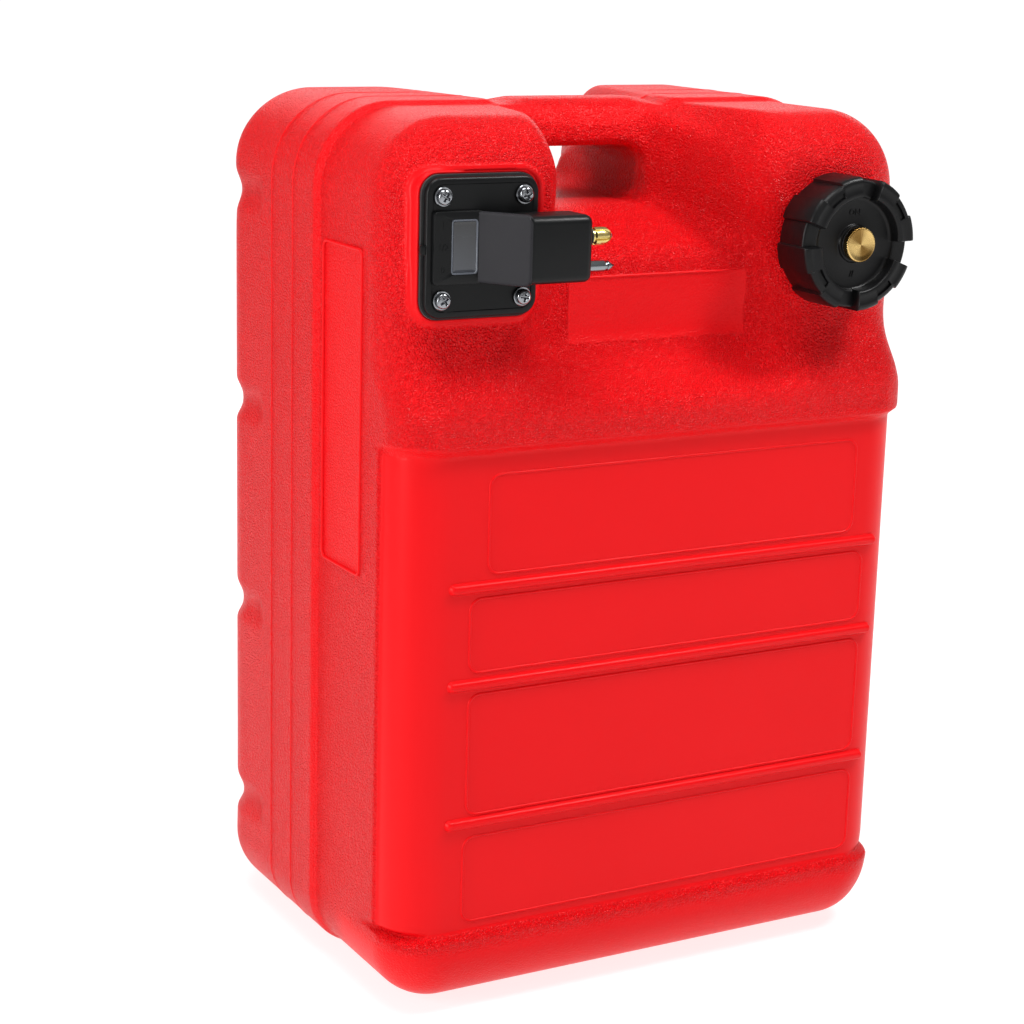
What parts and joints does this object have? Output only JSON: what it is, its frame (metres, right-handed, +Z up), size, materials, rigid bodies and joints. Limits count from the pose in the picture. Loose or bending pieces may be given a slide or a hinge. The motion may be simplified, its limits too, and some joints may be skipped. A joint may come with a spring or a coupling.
{
  "type": "outboard fuel tank",
  "caption": "Portable red plastic outboard fuel tank with a moulded hand hole, a screwed filler cap with a vent screw, and a bolted gauge head with float, fuel pickup and hose connector.",
  "frame": {"origin": "middle of the overall box in X and Y, at its bottom, where the tank stands", "axes": "+Z up as the tank stands; -Y is the label face with the filler cap and gauge head; +X is the side of the filler cap"},
  "size_m": [0.342, 0.272, 0.502],
  "materials": {
    "tank_plastic": "blow-moulded polyethylene, pebble grain with smooth satin panels",
    "black_plastic": "injection-moulded, fine satin grain",
    "white_plastic": "acetal, as moulded",
    "lens": "clear moulded window, polished",
    "seal_rubber": "nitrile rubber",
    "brass": "turned, bright",
    "steel": "stainless, drawn or turned",
    "chrome_steel": "bright nickel plate"
  },
  "bodies": {
    "tank": {"tank_shell": "tank_plastic", "screw_insert_1": "brass", "screw_insert_2": "brass", "screw_insert_3": "brass", "screw_insert_4": "brass", "flange_gasket": "seal_rubber", "gauge_flange": "black_plastic", "gauge_lens": "lens", "gauge_back_plate": "black_plastic", "shaft_bush": "white_plastic", "flange_screw_1": "chrome_steel", "flange_screw_2": "chrome_steel", "flange_screw_3": "chrome_steel", "flange_screw_4": "chrome_steel", "flange_washer_1": "chrome_steel", "flange_washer_2": "chrome_steel", "flange_washer_3": "chrome_steel", "flange_washer_4": "chrome_steel", "outlet_nipple": "brass", "nipple_oring": "seal_rubber", "guide_pin": "steel", "valve_spring": "steel", "pickup_tube": "steel", "pickup_strainer": "white_plastic"},
    "gauge_float": {"pointer_shaft": "steel", "gauge_pointer": "white_plastic", "shaft_clip": "steel", "float_arm": "steel", "float": "black_plastic", "float_retainer": "steel"},
    "check_valve": {"outlet_valve": "steel"},
    "cap_carrier": {"cap_gasket": "seal_rubber"},
    "cap": {"filler_cap": "black_plastic", "vent_bush": "brass"},
    "vent_carrier": {"vent_seal": "seal_rubber"},
    "vent": {"vent_screw": "brass", "vent_clip": "steel"}
  },
  "joints": [
    {"name": "float_swing", "type": "hinge", "parent": "tank", "child": "gauge_float", "pos_m": [-0.123, -0.07, 0.433], "axis": [0, -1, 0], "range_deg": [0, 72]},
    {"name": "valve_slide", "type": "slide", "parent": "tank", "child": "check_valve", "axis": [-1, 0, 0], "range_m": [0, 0.0025], "stiffness_N_per_m": 300, "springref_m": -0.004, "deforming": ["valve_spring"]},
    {"name": "cap_lift", "type": "slide", "parent": "tank", "child": "cap_carrier", "axis": [0, -1, 0], "range_m": [0, 0.0151]},
    {"name": "cap_turn", "type": "hinge", "parent": "cap_carrier", "child": "cap", "pos_m": [0.1102, -0.12, 0.4277], "axis": [0, -1, 0], "range_deg": [0, 900]},
    {"name": "vent_lift", "type": "slide", "parent": "cap", "child": "vent_carrier", "axis": [0, -1, 0], "range_m": [0, 0.003]},
    {"name": "vent_turn", "type": "hinge", "parent": "vent_carrier", "child": "vent", "pos_m": [0.1102, -0.12, 0.4277], "axis": [0, -1, 0], "range_deg": [0, 720]}
  ],
  "couplings": [
    {"joint": "cap_lift", "follows": "cap_turn", "m_per_rad": 0.00095493},
    {"joint": "vent_turn", "follows": "vent_lift", "rad_per_m": 4188.8}
  ]
}
